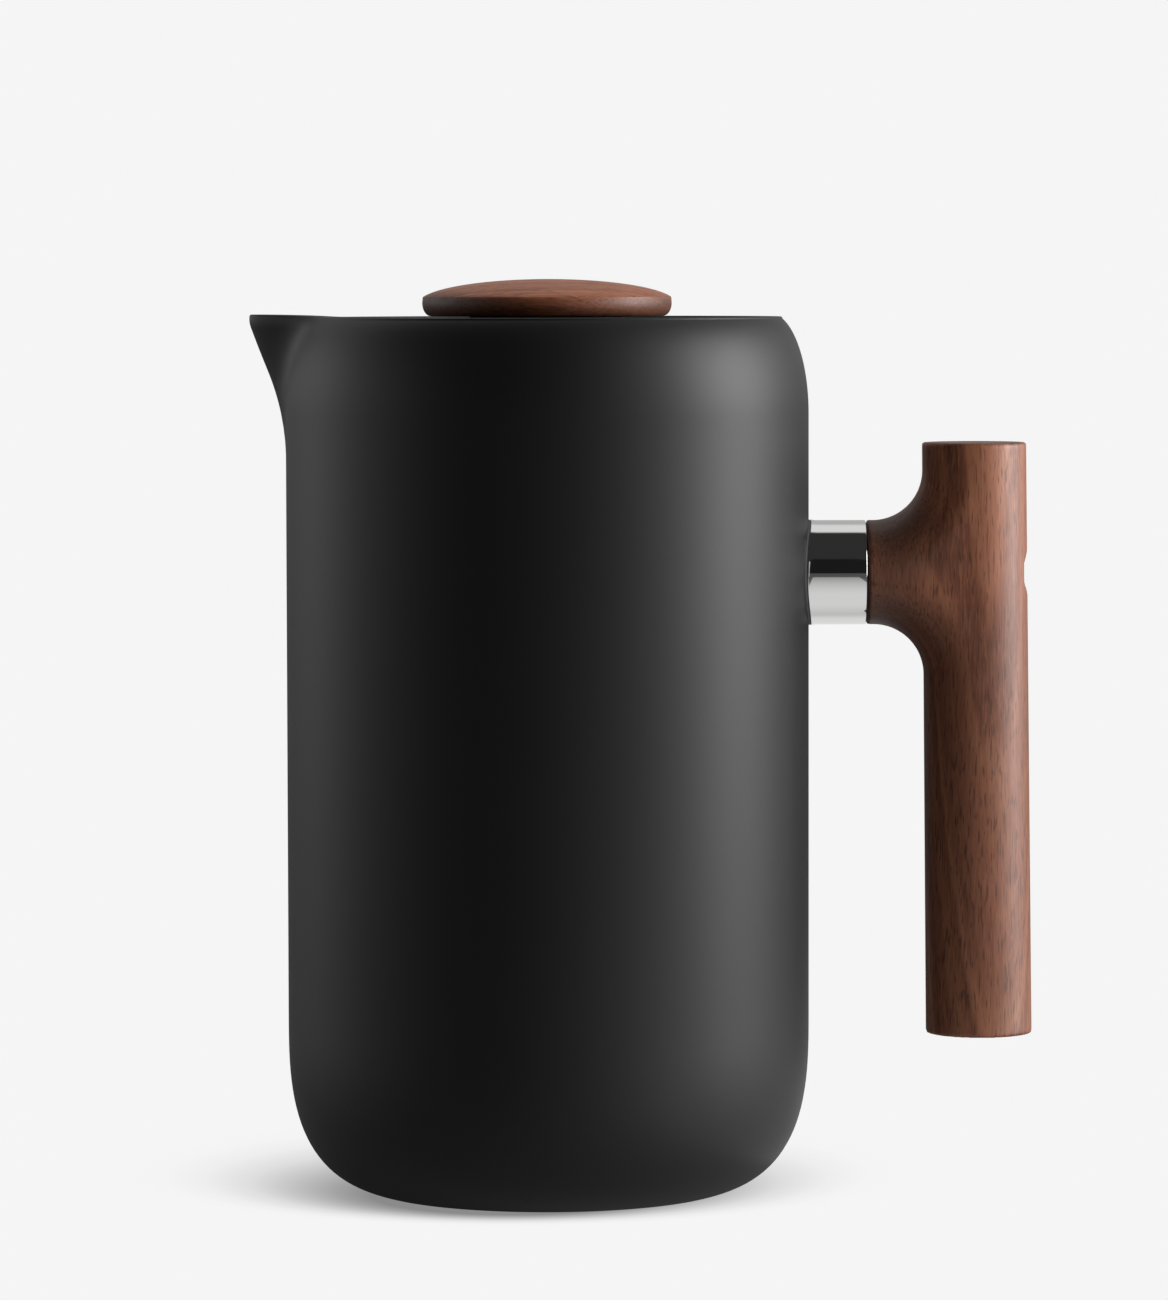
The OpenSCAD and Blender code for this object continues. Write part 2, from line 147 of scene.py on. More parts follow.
# ---------------------------------------------------------------- mesh helpers

def add_object(name, mesh, body, stands_for, material):
    """Links a new piece, lets it ride on its body and hides the CAD nodes it stands for."""
    piece = bpy.data.objects.new(name, mesh)
    bpy.context.scene.collection.objects.link(piece)
    mesh.polygons.foreach_set("use_smooth", [True] * len(mesh.polygons))
    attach(piece, body)
    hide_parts(*stands_for)
    mesh.materials.append(material)


def mesh_from(name, points, faces):
    mesh = bpy.data.meshes.new(name)
    mesh.from_pydata([tuple(p) for p in points], [], [tuple(f) for f in faces])
    mesh.validate()
    mesh.update()
    return mesh


def grid_mesh(name, points, closed_rows=False):
    """Quads over an array of points [row, column]. Columns always close into a ring,
    and rows do too if closed_rows."""
    points = np.asarray(points)
    rows, cols = points.shape[:2]
    index = np.arange(rows * cols).reshape(rows, cols)
    low = index if closed_rows else index[:-1]
    high = np.roll(index, -1, axis=0) if closed_rows else index[1:]
    quads = np.stack([low, np.roll(low, -1, 1), np.roll(high, -1, 1), high], axis=-1)
    return mesh_from(name, points.reshape(-1, 3), quads.reshape(-1, 4).tolist())


def corner_arc(before, corner, after, radius, steps=5):
    """Points of the round that replaces a corner of a polyline."""
    corner = np.array(corner, float)
    a = np.array(before, float) - corner
    b = np.array(after, float) - corner
    la, lb = np.linalg.norm(a), np.linalg.norm(b)
    a, b = a / la, b / lb
    half = math.acos(np.clip(a @ b, -1, 1)) / 2
    # An almost straight run needs no round, and a round takes less than half of each side
    if radius <= 0 or half > math.radians(88):
        return [corner]
    cut = min(radius / math.tan(half), 0.49 * la, 0.49 * lb)
    radius = cut * math.tan(half)
    centre = corner + (a + b) / np.linalg.norm(a + b) * radius / math.sin(half)
    start, end = corner + a * cut - centre, corner + b * cut - centre
    turn = math.atan2(start[0] * end[1] - start[1] * end[0], start @ end)
    found = []
    for i in range(steps + 1):
        t = turn * i / steps
        found.append(centre + np.array([
            start[0] * math.cos(t) - start[1] * math.sin(t),
            start[0] * math.sin(t) + start[1] * math.cos(t),
        ]))
    return found


def rounded(outline):
    """A closed outline of (r, z, corner radius) in metres, with its corners rounded."""
    found = []
    for i, (r, z, radius) in enumerate(outline):
        before = outline[i - 1][:2]
        after = outline[(i + 1) % len(outline)][:2]
        found += corner_arc(before, (r, z), after, radius)
    return found


def lathe_mesh(name, outline, segments):
    """Turns a closed outline of (r, z) about Z. Points on the axis become one vertex."""
    bm = bmesh.new()
    angles = [2 * math.pi * k / segments for k in range(segments)]
    rings = []
    for r, z in outline:
        if r < 1e-7:
            rings.append([bm.verts.new((0, 0, z))] * segments)
        else:
            rings.append([bm.verts.new((r * math.cos(a), r * math.sin(a), z)) for a in angles])
    for i, low in enumerate(rings):
        high = rings[(i + 1) % len(rings)]
        for k in range(segments):
            corners = [low[k], low[(k + 1) % segments], high[(k + 1) % segments], high[k]]
            face = list(dict.fromkeys(corners))
            if len(face) > 2:
                bm.faces.new(face)
    bmesh.ops.recalc_face_normals(bm, faces=bm.faces)
    mesh = bpy.data.meshes.new(name)
    bm.to_mesh(mesh)
    bm.free()
    return mesh


# ---------------------------------------------------------------- node helpers

class Shader:
    """A material's node tree, with short calls for its nodes."""

    def __init__(self, name):
        self.material = bpy.data.materials.new(name)
        self.material.use_nodes = True
        self.tree = self.material.node_tree
        self.tree.nodes.clear()
        self.output = self.tree.nodes.new("ShaderNodeOutputMaterial")
        self.surface = self.tree.nodes.new("ShaderNodeBsdfPrincipled")
        self.link(self.surface, "BSDF", self.output, "Surface")

    def link(self, source, out, target, into):
        self.tree.links.new(source.outputs[out], target.inputs[into])

    def node(self, kind, settings=None, **inputs):
        """A new node. inputs are values or sockets, by name or, as _0, by number."""
        made = self.tree.nodes.new("ShaderNode" + kind)
        for key, value in (settings or {}).items():
            setattr(made, key, value)
        for key, value in inputs.items():
            socket = made.inputs[int(key[1:]) if key[0] == "_" else key.replace("_", " ")]
            if isinstance(value, bpy.types.NodeSocket):
                self.tree.links.new(value, socket)
            else:
                socket.default_value = value
        return made

    def coords(self):
        return self.node("TexCoord").outputs["Object"]

    def mapped(self, scale, rotation=(0, 0, 0), location=(0, 0, 0), vector=None):
        vector = vector or self.coords()
        return self.node("Mapping", Vector=vector, Scale=scale, Rotation=rotation,
                         Location=location).outputs["Vector"]

    def noise(self, vector, scale, detail=3.0, roughness=0.5):
        return self.node("TexNoise", Vector=vector, Scale=scale, Detail=detail,
                         Roughness=roughness).outputs["Fac"]

    def ramp(self, value, stops):
        """stops is a list of (place, colour) or (place, grey)."""
        made = self.node("ValToRGB", Fac=value)
        cells = made.color_ramp.elements
        while len(cells) < len(stops):
            cells.new(0.5)
        for cell, (place, colour) in zip(cells, stops):
            cell.position = place
            if isinstance(colour, (int, float)):
                colour = (colour, colour, colour)
            cell.color = (*colour, 1)
        return made.outputs["Color"]

    def mix(self, factor, a, b, blend="MIX"):
        made = self.node("Mix", {"data_type": "RGBA", "blend_type": blend})
        for socket, value in ((made.inputs[0], factor), (made.inputs[6], a), (made.inputs[7], b)):
            if isinstance(value, bpy.types.NodeSocket):
                self.tree.links.new(value, socket)
            elif isinstance(value, tuple):
                socket.default_value = (*value, 1)
            else:
                socket.default_value = value
        return made.outputs[2]

    def maths(self, operation, a, b=0.0, c=0.0):
        return self.node("Math", {"operation": operation}, _0=a, _1=b, _2=c).outputs[0]

    def bump(self, height, strength, distance):
        made = self.node("Bump", Height=height, Strength=strength, Distance=distance)
        return made.outputs["Normal"]

    def set(self, **inputs):
        for key, value in inputs.items():
            socket = self.surface.inputs[key.replace("_", " ")]
            if isinstance(value, bpy.types.NodeSocket):
                self.tree.links.new(value, socket)
            elif isinstance(value, tuple) and len(value) == 3:
                socket.default_value = (*value, 1)
            else:
                socket.default_value = value
        return self.material


# ---------------------------------------------------------------- materials

WOOD_DARK = (0.172, 0.053, 0.023)
WOOD_MID = (0.282, 0.095, 0.043)
WOOD_LIGHT = (0.410, 0.160, 0.080)
WOOD_RED = (0.250, 0.072, 0.031)
WOOD_PORE = (0.048, 0.012, 0.005)


def black_coat():
    """Matt powder coat: near black, with a fine even texture and faint cloudiness."""
    s = Shader("black_coat")
    at = s.coords()
    fine = s.noise(at, 5200, 2.0, 0.55)
    soft = s.noise(at, 1500, 2.0, 0.5)
    cloud = s.noise(at, 38, 3.0, 0.5)
    grain = s.maths("ADD", s.maths("MULTIPLY", fine, 0.6), s.maths("MULTIPLY", soft, 0.5))
    colour = s.mix(cloud, (0.0095, 0.0095, 0.0098), (0.0120, 0.0119, 0.0122))
    rough = s.ramp(fine, [(0.25, 0.47), (0.75, 0.56)])
    return s.set(Base_Color=colour, Roughness=rough, Specular_IOR_Level=0.34,
                 Normal=s.bump(grain, 0.22, 0.06 * MM))


def walnut(name, along, seed, pith, gloss, painted_shading):
    """Oiled walnut. along is the grain's axis, 0 for X and 2 for Z, and pith is where the
    trunk's middle lies beside it. The last argument lists painted light and shade: how to
    measure and from what, then from, to, painted tone there, painted tone here."""
    s = Shader(name)
    turn = (0, math.radians(-90), 0) if along == 0 else (0, 0, 0)
    wood = s.mapped((1, 1, 1), rotation=turn, location=seed)
    # The trunk's axis lies beside the part and leans a little, so that the year rings
    # come out of its sides as long, uneven arches. A small third scale stretches a noise
    # along the grain
    slow = s.noise(s.mapped((1, 1, 0.22), vector=wood), 26, 2.0, 0.5)
    quick = s.noise(s.mapped((1, 1, 0.12), vector=wood), 110, 3.0, 0.6)
    split = s.node("SeparateXYZ", Vector=wood)
    lean = s.maths("MULTIPLY", split.outputs["Z"], -0.085)
    x = s.maths("ADD", split.outputs["X"], pith[0])
    y = s.maths("ADD", s.maths("ADD", split.outputs["Y"], lean), pith[1])
    radius = s.node("VectorMath", {"operation": "LENGTH"},
                    Vector=s.node("CombineXYZ", X=x, Y=y).outputs[0]).outputs["Value"]
    radius = s.maths("ADD", radius, s.maths("MULTIPLY", slow, 0.012))
    radius = s.maths("ADD", radius, s.maths("MULTIPLY", quick, 0.0030))
    # Year rings of uneven width and depth
    ring = s.node("TexNoise", {"noise_dimensions": "1D"}, W=radius, Scale=420.0, Detail=2.0,
                  Roughness=0.5).outputs["Fac"]
    base = s.ramp(ring, [(0.30, WOOD_DARK), (0.52, WOOD_MID), (0.70, WOOD_LIGHT)])
    # Fibres and streaks along the grain, and redder patches
    fibre = s.noise(s.mapped((1, 1, 0.09), vector=wood), 2100, 3.0, 0.65)
    streak = s.noise(s.mapped((1, 1, 0.06), vector=wood), 640, 4.0, 0.7)
    patch = s.noise(s.mapped((1, 1, 0.35), vector=wood), 48, 2.0, 0.5)
    for measure, stops, colour in (
        (streak, [(0.42, 0.0), (0.70, 0.42)], WOOD_DARK),
        (fibre, [(0.46, 0.0), (0.68, 0.55)], WOOD_LIGHT),
        (fibre, [(0.32, 0.45), (0.46, 0.0)], WOOD_DARK),
        (patch, [(0.38, 0.0), (0.66, 0.30)], WOOD_RED),
    ):
        base = s.mix(s.ramp(measure, stops), base, colour)
    # Darker pores, that are short dashes
    dash = s.noise(s.mapped((1, 1, 0.11), vector=wood), 2500, 1.0, 0.4)
    pore_mask = s.ramp(dash, [(0.58, 0.0), (0.67, 1.0)])
    dark = s.maths("MULTIPLY", pore_mask, s.ramp(patch, [(0.3, 0.68), (0.7, 0.42)]))
    base = s.mix(dark, base, WOOD_PORE)
    # End grain drinks more oil and comes out darker; this darkening also stands in for painted
    # shade, in the grip's bends most of all
    normal = s.node("SeparateXYZ", Vector=s.node("TexCoord").outputs["Normal"])
    facing = s.maths("ABSOLUTE", normal.outputs["XYZ"[along]])
    base = s.mix(1.0, base, s.ramp(facing, [(0.25, 1.0), (0.85, 0.58)]), "MULTIPLY")
    # Painted light and shade, multiplied into the colour by place
    for measure, vector, low, high, painted_low, painted_high in painted_shading:
        place = s.node("VectorMath", {"operation": measure}, _0=s.coords(), _1=vector)
        tone = s.node("MapRange", {"interpolation_type": "SMOOTHSTEP"},
                      _0=place.outputs["Value"], _1=low, _2=high, _3=painted_low, _4=painted_high)
        base = s.mix(1.0, base, tone.outputs[0], "MULTIPLY")
    height = s.maths("SUBTRACT", s.maths("MULTIPLY", fibre, 0.3),
                     s.maths("MULTIPLY", pore_mask, 0.6))
    rough = s.ramp(streak, [(0.2, 0.48), (0.8, 0.60)])
    return s.set(Base_Color=base, Roughness=rough, Specular_IOR_Level=gloss,
                 Normal=s.bump(height, 0.25, 0.06 * MM))


def polished_steel():
    """Mirror polish with faint smears and very fine hairlines."""
    s = Shader("polished_steel")
    smear = s.noise(s.coords(), 90, 3.0, 0.5)
    hair = s.noise(s.mapped((6, 900, 900)), 4, 2.0, 0.5)
    rough = s.ramp(smear, [(0.3, 0.035), (0.7, 0.075)])
    return s.set(Base_Color=(0.78, 0.775, 0.77), Metallic=1.0, Roughness=rough,
                 Normal=s.bump(hair, 0.015, 0.01 * MM))


def brushed_steel(name, colour, roughness, axis):
    """Satin steel with fine lines across the axis that has the large scale."""
    s = Shader(name)
    lines = s.noise(s.mapped(axis), 60, 4.0, 0.6)
    cloud = s.noise(s.coords(), 70, 2.0, 0.5)
    tint = s.mix(cloud, tuple(c * 0.9 for c in colour), colour)
    tint = s.mix(s.ramp(lines, [(0.35, 0.0), (0.7, 0.25)]), tint, tuple(c * 0.7 for c in colour))
    rough = s.ramp(lines, [(0.3, roughness - 0.06), (0.7, roughness + 0.07)])
    return s.set(Base_Color=tint, Metallic=1.0, Roughness=rough,
                 Normal=s.bump(lines, 0.10, 0.02 * MM))


def silicone(name, low, high):
    """Matt rubber between two close colours, with a little dust."""
    s = Shader(name)
    fine = s.noise(s.coords(), 2600, 2.0, 0.5)
    dust = s.noise(s.coords(), 120, 3.0, 0.6)
    colour = s.mix(s.ramp(dust, [(0.45, 0.0), (0.75, 0.5)]), low, high)
    return s.set(Base_Color=colour, Roughness=s.ramp(fine, [(0.3, 0.62), (0.7, 0.74)]),
                 Normal=s.bump(fine, 0.2, 0.05 * MM))


def fine_texture(name, low, high):
    """A finely textured surface between two close colours: moulded, or blackened steel."""
    s = Shader(name)
    spark = s.noise(s.coords(), 3400, 2.0, 0.55)
    flow = s.noise(s.coords(), 55, 2.0, 0.5)
    return s.set(Base_Color=s.mix(flow, low, high),
                 Roughness=s.ramp(spark, [(0.3, 0.40), (0.7, 0.52)]),
                 Normal=s.bump(spark, 0.25, 0.05 * MM))


def brass():
    """Turned brass with fine lines round Z."""
    s = Shader("insert_brass")
    lines = s.noise(s.mapped((1, 1, 40)), 60, 3.0, 0.6)
    tint = s.mix(lines, (0.55, 0.38, 0.14), (0.72, 0.52, 0.24))
    return s.set(Base_Color=tint, Metallic=1.0,
                 Roughness=s.ramp(lines, [(0.3, 0.28), (0.7, 0.38)]))


def woven_mesh():
    """Plain weave of fine wires, as colour and relief, with painted shade in the gaps between the
    wires.
    """
    s = Shader("woven_mesh")
    warp, weft = (
        s.node("TexWave", {"wave_type": "BANDS", "bands_direction": direction},
               Vector=s.coords(), Scale=560.0, Distortion=0.0).outputs["Fac"]
        for direction in "XY"
    )
    weave = s.maths("MAXIMUM", warp, weft)
    cloud = s.noise(s.coords(), 80, 2.0, 0.5)
    # Painted shade: the gaps between the wires are near black
    tint = s.ramp(weave, [(0.45, (0.05, 0.05, 0.05)), (0.8, (0.55, 0.55, 0.54))])
    tint = s.mix(s.maths("MULTIPLY", cloud, 0.3), tint, (0.30, 0.29, 0.28))
    return s.set(Base_Color=tint, Metallic=1.0,
                 Roughness=s.ramp(cloud, [(0.3, 0.30), (0.7, 0.42)]),
                 Normal=s.bump(weave, 0.6, 0.1 * MM))


BLACK = black_coat()
# The bar's painted light and shade: painted shade on the neck, painted light higher up, and a
# painted shadow patch on the neck's front, in its upper bend
WALNUT_BAR = walnut("walnut_bar", 2, (0.0, 0.0, 0.0), (0.021 - GRIP_X, -0.048), 0.56, [
    ("DOT_PRODUCT", (1, 0, 0), GRIP_X - 20 * MM, GRIP_X - 8 * MM, 0.54, 1.0),
    ("DOT_PRODUCT", (0, 0, 1), NECK_Z - 17 * MM, NECK_Z + 9 * MM, 0.96, 1.25),
    ("DISTANCE", (GRIP_X - 12.5 * MM, -9 * MM, NECK_Z + 7 * MM), 3 * MM, 13 * MM, 0.55, 1.0),
])
# The knob's painted light and shade: painted light on the dome, painted shade on its side, and
# more painted shade to the lower left
WALNUT_KNOB = walnut("walnut_knob", 0, (0.004, 0.021, 0.011), (0.02, 0.05), 0.38, [
    ("DOT_PRODUCT", (0, 0, 1), KNOB_CREASE_Z - 0.7 * MM, KNOB_CREASE_Z + 0.2 * MM, 1.05, 1.6),
    ("DOT_PRODUCT", (1, 0, 8), 8 * KNOB_CREASE_Z - 28 * MM, 8 * KNOB_CREASE_Z, 0.45, 1.08),
])
POLISHED = polished_steel()
TURNED_LINES = (1, 1, 60)
SATIN = brushed_steel("satin_steel", (0.60, 0.595, 0.585), 0.34, TURNED_LINES)
PLAIN = brushed_steel("plain_steel", (0.64, 0.635, 0.625), 0.26, TURNED_LINES)
BLACKENED = fine_texture("blackened_steel", (0.016, 0.016, 0.017), (0.024, 0.024, 0.025))
SILICONE = silicone("silicone", (0.010, 0.010, 0.011), (0.028, 0.028, 0.028))
GREY_SILICONE = silicone("grey_silicone", (0.20, 0.20, 0.20), (0.26, 0.26, 0.26))
BLACK_PLASTIC = fine_texture("black_plastic", (0.011, 0.011, 0.012), (0.016, 0.016, 0.017))
WHITE_PLASTIC = fine_texture("white_plastic", (0.68, 0.67, 0.63), (0.76, 0.75, 0.71))
BRASS = brass()
WEAVE = woven_mesh()

SLOT_MATERIAL = {
    "black_coat": BLACK,
    "satin_steel": SATIN,
    "plain_steel": PLAIN,
    "polished_steel": POLISHED,
    "silicone": SILICONE,
    "walnut": WALNUT_BAR,
    "black_plastic": BLACK_PLASTIC,
    "white_plastic": WHITE_PLASTIC,
    "insert_brass": BRASS,
}
# Nodes that look unlike the rest of their slot
NODE_MATERIAL = {"filter_mesh": WEAVE, "handle_bolt": BLACKENED, "saddle_gasket": GREY_SILICONE}
node_slot = {s["node"]: s["material_slot"] for s in frame["record"]["subparts"]}
for node_name, node_object in frame["nodes"].items():
    material = NODE_MATERIAL.get(node_name, SLOT_MATERIAL[node_slot[node_name]])
    node_object.data.materials.clear()
    node_object.data.materials.append(material)


# ---------------------------------------------------------------- carafe wall and spout

def smooth_step_out(x, width):
    """max(x, 0) with its corner rounded over +-width."""
    h = np.clip(1 - np.abs(x) / width, 0, None)
    return np.maximum(x, 0) + h ** 3 * width / 6


def smooth_step_in(y, width):
    """Inverse of smooth_step_out: the x that gives y."""
    y = np.maximum(y, 1e-9)
    low = width * (np.cbrt(6 * y / width) - 1)
    x = np.where(y < width / 6, low, y)
    for _ in range(8):
        h = np.clip(1 - np.abs(x) / width, 0, None)
        slope = np.where(x > 0, 1 - h ** 2 / 2, h ** 2 / 2 + 1e-9)
        step = (smooth_step_out(x, width) - y) / slope
        x = np.where(y < width / 6, x, x - step)
    return x


def wall_radius(z):
    """Radius of the plain outer wall at height z."""
    low = np.clip((BOTTOM_H - z) / BOTTOM_H, 0, 1)
    curve = (1 - low ** BOTTOM_POWER) ** (1 / BOTTOM_POWER)
    foot = WALL_R - BOTTOM_DEPTH + BOTTOM_DEPTH * curve
    rise = np.clip((z - SHOULDER_Z) / SHOULDER_H, 0, 1)
    top = WALL_R - SHOULDER_DEPTH + SHOULDER_DEPTH * np.sqrt(1 - rise ** 2)
    return np.minimum(foot, top)


def ridge_out(z):
    """How far the spout's ridge stands out from the straight wall at height z."""
    lip = math.atan(LIP_SLOPE)
    up = np.clip(z - (RIM_Z - SPOUT_H), 0, None)
    curve_end = RIDGE_CURVE * math.sin(lip)
    on_curve = RIDGE_CURVE - np.sqrt(RIDGE_CURVE ** 2 - np.minimum(up, curve_end) ** 2)
    blunt = LIP_BLUNT * np.clip((up - SPOUT_H) / LIP_BLUNT_H + 1, 0, None) ** 2
    return on_curve + np.clip(up - curve_end, 0, None) * LIP_SLOPE - blunt


def v_radius(angle, tip, rounding):
    """Radius, at an angle off the spout's direction, of a V with a rounded tip."""
    k = 1 / math.tan(SPOUT_ANGLE)
    apex = tip + rounding * k
    c, s = np.cos(angle), np.sin(angle)
    square = apex ** 2 - (k * rounding) ** 2
    root = np.sqrt((k * rounding * c) ** 2 + (k * s) ** 2 * square)
    radius = square / (apex * c + root)
    return np.where(np.abs(angle) < SPOUT_REACH, radius, 0)


def spouted(angle, plain, ridge):
    """plain radius with the spout's V added, its ridge at the radius ridge."""
    tip = plain + smooth_step_in(ridge - plain, CREASE)
    v = v_radius(angle, tip, RIDGE_ROUND)
    return plain + np.where(ridge > plain + 1e-7, smooth_step_out(v - plain, CREASE), 0)


def outer_radius(angle, z):
    """Radius of the outer wall with its spout, at an angle off the spout's direction."""
    plain = wall_radius(z)
    ridge = np.where(z > RIM_Z - SPOUT_H, WALL_R + ridge_out(z), plain)
    return spouted(angle, plain, ridge)


def vessel_radius(z):
    """Radius of the plain inner wall at height z."""
    corner = np.clip((VESSEL_FLOOR_Z + VESSEL_CORNER - z) / VESSEL_CORNER, 0, 1)
    bore = BORE_R - VESSEL_CORNER * (1 - np.sqrt(1 - corner ** 2))
    return np.where(z > LEDGE_Z, MOUTH_R, bore)


def channel_out(z):
    """Radius of the spout channel's ridge at height z."""
    tip = WALL_R + ridge_out(RIM_Z) - LIP_W
    up = np.clip(z - (RIM_Z - CHANNEL_H), 0, None) / CHANNEL_H
    reach = tip - BORE_R
    # Meets the wall smoothly below, and runs out at the lip with the given slope
    power = max(CHANNEL_SLOPE * CHANNEL_H / reach, 1.5)
    return BORE_R + reach * up ** power


def inner_radius(angle, z):
    """Radius of the inner wall with the spout's channel."""
    return spouted(angle, vessel_radius(z), channel_out(z))


def spout_columns():
    """Angles round the carafe, closest together at the spout, which is at angle 0."""
    columns = 288
    t = (np.arange(columns) + 0.5) / columns * 2 - 1
    near = 0.16 * t + 0.84 * t ** 3
    return near * math.pi


def placed(angles, radii, heights):
    """Points from polar form: the angle is measured from the spout's direction, -X.
    Near the rim the spout's lip climbs a little towards its tip."""
    x = -radii * np.cos(angles)
    y = -radii * np.sin(angles)
    near = np.clip(1 - np.abs(angles) / LIP_RISE_ANGLE, 0, 1)
    level = np.clip(1 - (RIM_Z - heights) / LIP_RISE_H, 0, 1)
    rise = LIP_RISE * near ** 2 * (3 - 2 * near) * level ** 2
    return np.stack([x, y, heights + rise], axis=-1)


def carafe_shell():
    """The black outer wall: skin outside, rounded rim, and a second skin inside."""
    angles = spout_columns()
    foot = BASE_Z + (BOTTOM_H - BASE_Z) * np.linspace(0, 1, 30) ** 2
    wall = np.linspace(BOTTOM_H, SHOULDER_Z, 46)[1:-1]
    shoulder = SHOULDER_Z + SHOULDER_H * np.sin(np.linspace(0, SHOULDER_END, 44))
    shoulder = shoulder[shoulder < RIM_Z - RIM_EDGE * 1.2]
    heights = np.concatenate([foot, wall, shoulder])
    rows = [placed(angles, outer_radius(angles, z), z) for z in heights]
    # The rim, where the coat wraps over and ends a little way down inside
    rim_out = outer_radius(angles, RIM_Z - RIM_EDGE)
    rim_in = inner_radius(angles, RIM_Z - RIM_EDGE)
    for t in np.linspace(0, math.pi / 2, 6):
        radius = rim_out - RIM_EDGE * (1 - math.cos(t)) * 0.9
        rows.append(placed(angles, radius, RIM_Z - RIM_EDGE * (1 - math.sin(t))))
    for t in np.linspace(math.pi / 2, 0, 6):
        radius = rim_in - COAT_T + RIM_EDGE * (1 - math.cos(t))
        rows.append(placed(angles, radius, RIM_Z - RIM_EDGE * (1 - math.sin(t))))
    weld = rim_in + WELD_OUT
    wrap_z = RIM_Z - RIM_WRAP
    rows.append(placed(angles, inner_radius(angles, wrap_z) - COAT_T, wrap_z))
    rows.append(placed(angles, weld, wrap_z))
    # The second skin is out of sight in the double wall
    for z in heights[::-3]:
        if z > wrap_z - 1 * MM:
            continue
        inside = outer_radius(angles, z) - SHELL_T
        if z > RIM_Z - WELD_H:
            inside = np.maximum(inside, weld)
        rows.append(placed(angles, inside, max(z, BASE_Z + SHELL_T)))
    rows.append(placed(angles, BASE_R, BASE_Z + SHELL_T))
    rows.append(placed(angles, BASE_R, BASE_Z))
    mesh = grid_mesh("carafe_shell", np.stack(rows), closed_rows=True)
    add_object("carafe_shell", mesh, "carafe", ["outer_shell"], BLACK)


def vessel_lining():
    """The steel inner wall with its floor, ledge and spout channel, and its outer skin."""
    angles = spout_columns()
    weld = inner_radius(angles, RIM_Z - RIM_EDGE) + WELD_OUT
    rim_in = inner_radius(angles, RIM_Z - 0.3 * MM)
    top = RIM_Z - RIM_WRAP + 0.15 * MM
    channel_z = RIM_Z - CHANNEL_H
    corner_z = VESSEL_FLOOR_Z + VESSEL_CORNER
    flat_r, centre_r = BORE_R - VESSEL_CORNER, 0.2 * MM
    nudge = 0.02 * MM
    rows = [
        placed(angles, weld, top - 0.5 * MM),
        placed(angles, weld, top),
        placed(angles, rim_in + nudge, top),
    ]
    # Down the mouth, over the ledge, and down the bore to the floor's corner
    mouth = np.linspace(top - 0.1 * MM, LEDGE_Z + nudge, 26)
    channel = np.linspace(LEDGE_Z - nudge, channel_z, 14)
    bore = np.linspace(channel_z, corner_z, 30)[1:]
    for z in np.concatenate([mouth, channel, bore]):
        rows.append(placed(angles, inner_radius(angles, z), z))
    for t in np.linspace(0, math.pi / 2, 12)[1:]:
        r = BORE_R - VESSEL_CORNER * (1 - math.cos(t))
        rows.append(placed(angles, r, VESSEL_FLOOR_Z + VESSEL_CORNER * (1 - math.sin(t))))
    for r in np.linspace(flat_r, centre_r, 8)[1:]:
        rows.append(placed(angles, r, VESSEL_FLOOR_Z))
    # The outer skin, from the floor's middle back up to the weld
    for r in np.linspace(centre_r, flat_r, 6):
        rows.append(placed(angles, r, VESSEL_FLOOR_Z - VESSEL_T))
    for t in np.linspace(math.pi / 2, 0, 10)[1:]:
        r = flat_r + (VESSEL_CORNER + VESSEL_T) * math.cos(t)
        rows.append(placed(angles, r, corner_z - (VESSEL_CORNER + VESSEL_T) * math.sin(t)))
    for z in np.linspace(corner_z, top - 1.0 * MM, 30)[1:]:
        rows.append(placed(angles, np.minimum(inner_radius(angles, z) + VESSEL_T, weld), z))
    mesh = grid_mesh("vessel_lining", np.stack(rows), closed_rows=True)
    add_object("vessel_lining", mesh, "carafe", ["inner_vessel"], SATIN)


carafe_shell()
vessel_lining()


# ---------------------------------------------------------------- wooden grip

